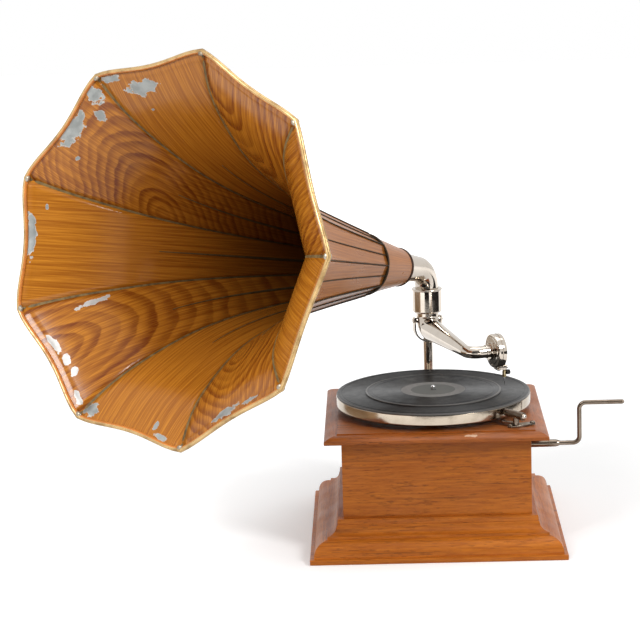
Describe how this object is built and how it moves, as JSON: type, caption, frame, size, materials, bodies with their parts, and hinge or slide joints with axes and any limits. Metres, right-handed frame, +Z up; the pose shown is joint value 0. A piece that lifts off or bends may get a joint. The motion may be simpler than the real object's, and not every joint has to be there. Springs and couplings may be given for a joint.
{
  "type": "horn gramophone",
  "caption": "Table-top gramophone: wooden motor case with turntable, tone arm and soundbox, side crank, and a large flared panelled horn on a swivelling elbow.",
  "frame": {"origin": "centre of the cabinet's underside, on the surface that it stands on", "axes": "+X to the right (crank side), +Y to the back (horn bracket side), +Z up"},
  "size_m": [0.7608, 0.6275, 0.6673],
  "materials": {
    "base_wood": "satin varnish, reddish oak",
    "case_wood": "satin varnish, reddish oak",
    "top_wood": "satin varnish, reddish oak",
    "cast_bracket": "nickel-plated casting",
    "nickel": "polished nickel plate",
    "worn_nickel": "dull worn nickel",
    "steel": "bright steel",
    "mica": "thin mica sheet",
    "needle_brass": "bare brass",
    "black_screw": "black knurled head",
    "felt": "charcoal mat",
    "shellac": "dull black, fine grooves",
    "motor_brass": "machined brass",
    "motor_steel": "machined steel",
    "spring_steel": "blued spring steel",
    "leather": "dark leather",
    "gilt_rim": "gilt bead, worn",
    "seam_metal": "grey-brass folded seam",
    "horn_paint": "glossy painted wood grain",
    "dark_bush": "dark stained"
  },
  "bodies": {
    "cabinet": {"base_board": "base_wood", "base_mouldings": "base_wood", "case_front": "case_wood", "case_back": "case_wood", "case_left": "case_wood", "case_right": "case_wood", "top_mouldings": "top_wood", "motor_board": "top_wood", "back_bracket": "cast_bracket", "tonearm_post": "nickel", "horn_collar": "nickel", "wood_screws": "worn_nickel", "motor_top_plate": "motor_steel", "motor_bottom_plate": "motor_steel", "motor_pillars": "motor_steel", "motor_hangers": "motor_steel", "crank_bush": "worn_nickel", "governor_pad_arm": "motor_steel", "brake_base": "worn_nickel"},
    "horn_elbow": {"horn_elbow": "nickel"},
    "horn": {"horn_panel_1": "horn_paint", "horn_panel_2": "horn_paint", "horn_panel_3": "horn_paint", "horn_panel_4": "horn_paint", "horn_panel_5": "horn_paint", "horn_panel_6": "horn_paint", "horn_panel_7": "horn_paint", "horn_panel_8": "horn_paint", "horn_panel_9": "horn_paint", "horn_rim_beads": "gilt_rim", "horn_mid_ribs": "seam_metal", "horn_seam_ribs": "seam_metal", "horn_neck_ring": "seam_metal", "horn_throat_cone": "horn_paint", "horn_throat_bush": "dark_bush"},
    "yoke": {"tonearm_yoke": "nickel", "yoke_screws": "nickel"},
    "tonearm": {"tonearm": "nickel"},
    "soundbox": {"soundbox_case": "nickel", "diaphragm": "mica", "stylus_bar": "needle_brass", "needle": "steel"},
    "needle_screw": {"needle_screw": "black_screw"},
    "turntable": {"platter": "nickel", "platter_mat": "felt", "record": "shellac", "spindle": "steel", "governor_drive_wheel": "motor_brass"},
    "barrel": {"spring_barrel": "motor_brass", "mainspring": "spring_steel"},
    "winding_arbor": {"barrel_arbor": "motor_steel", "winding_gear": "motor_steel"},
    "crank": {"crank": "worn_nickel", "winding_shaft": "motor_steel"},
    "middle_arbor": {"middle_arbor": "motor_steel", "middle_wheel": "motor_brass"},
    "governor": {"governor_shaft": "motor_steel", "governor_head": "motor_brass"},
    "brake": {"brake_lever": "worn_nickel", "brake_pad": "leather"}
  },
  "joints": [
    {"name": "horn_swing", "type": "hinge", "parent": "cabinet", "child": "horn_elbow", "pos_m": [-0.0026, 0.155, 0.28], "axis": [0, 0, 1], "range_deg": [-70, 70]},
    {"name": "horn_pull_off", "type": "slide", "parent": "horn_elbow", "child": "horn", "axis": [-0.5514, -0.8083, 0.2062], "range_m": [0, 0.025]},
    {"name": "tonearm_swing", "type": "hinge", "parent": "cabinet", "child": "yoke", "pos_m": [-0.0026, 0.155, 0.218], "axis": [0, 0, 1], "range_deg": [-19, 17]},
    {"name": "tonearm_lift", "type": "hinge", "parent": "yoke", "child": "tonearm", "pos_m": [-0.0026, 0.155, 0.248], "axis": [-0.9536, -0.301, 0], "range_deg": [0, 5]},
    {"name": "soundbox_turn", "type": "hinge", "parent": "tonearm", "child": "soundbox", "pos_m": [0.07753, 0.00709, 0.2345], "axis": [0.9259, 0.3778, 0], "range_deg": [0, 170]},
    {"name": "needle_screw_turn", "type": "hinge", "parent": "soundbox", "child": "needle_screw", "pos_m": [0.09419, 0.01389, 0.204], "axis": [0.9259, 0.3778, 0], "range_deg": [0, 720]},
    {"name": "turntable_spin", "type": "hinge", "parent": "cabinet", "child": "turntable", "pos_m": [0, 0, 0.17], "axis": [0, 0, 1], "continuous": true},
    {"name": "barrel_spin", "type": "hinge", "parent": "cabinet", "child": "barrel", "pos_m": [0.056, 0, 0.06], "axis": [0, 0, 1], "continuous": true},
    {"name": "middle_arbor_spin", "type": "hinge", "parent": "cabinet", "child": "middle_arbor", "pos_m": [0.01336, 0.02686, 0.06], "axis": [0, 0, 1], "continuous": true},
    {"name": "governor_spin", "type": "hinge", "parent": "cabinet", "child": "governor", "pos_m": [-0.0229, 0, 0.0553], "axis": [0, 1, 0], "continuous": true},
    {"name": "crank_turn", "type": "hinge", "parent": "cabinet", "child": "crank", "pos_m": [0.15, 0, 0.11], "axis": [1, 0, 0], "continuous": true},
    {"name": "winding_arbor_turn", "type": "hinge", "parent": "cabinet", "child": "winding_arbor", "pos_m": [0.056, 0, 0.1], "axis": [0, 0, 1], "continuous": true},
    {"name": "brake_swing", "type": "hinge", "parent": "cabinet", "child": "brake", "pos_m": [0.102, -0.1095, 0.17], "axis": [0, 0, 1], "range_deg": [-30, 0]}
  ],
  "couplings": [
    {"joint": "middle_arbor_spin", "follows": "turntable_spin", "ratio": -0.25},
    {"joint": "barrel_spin", "follows": "turntable_spin", "ratio": 0.05},
    {"joint": "governor_spin", "follows": "turntable_spin", "ratio": 12},
    {"joint": "winding_arbor_turn", "follows": "crank_turn", "ratio": 0.5}
  ]
}
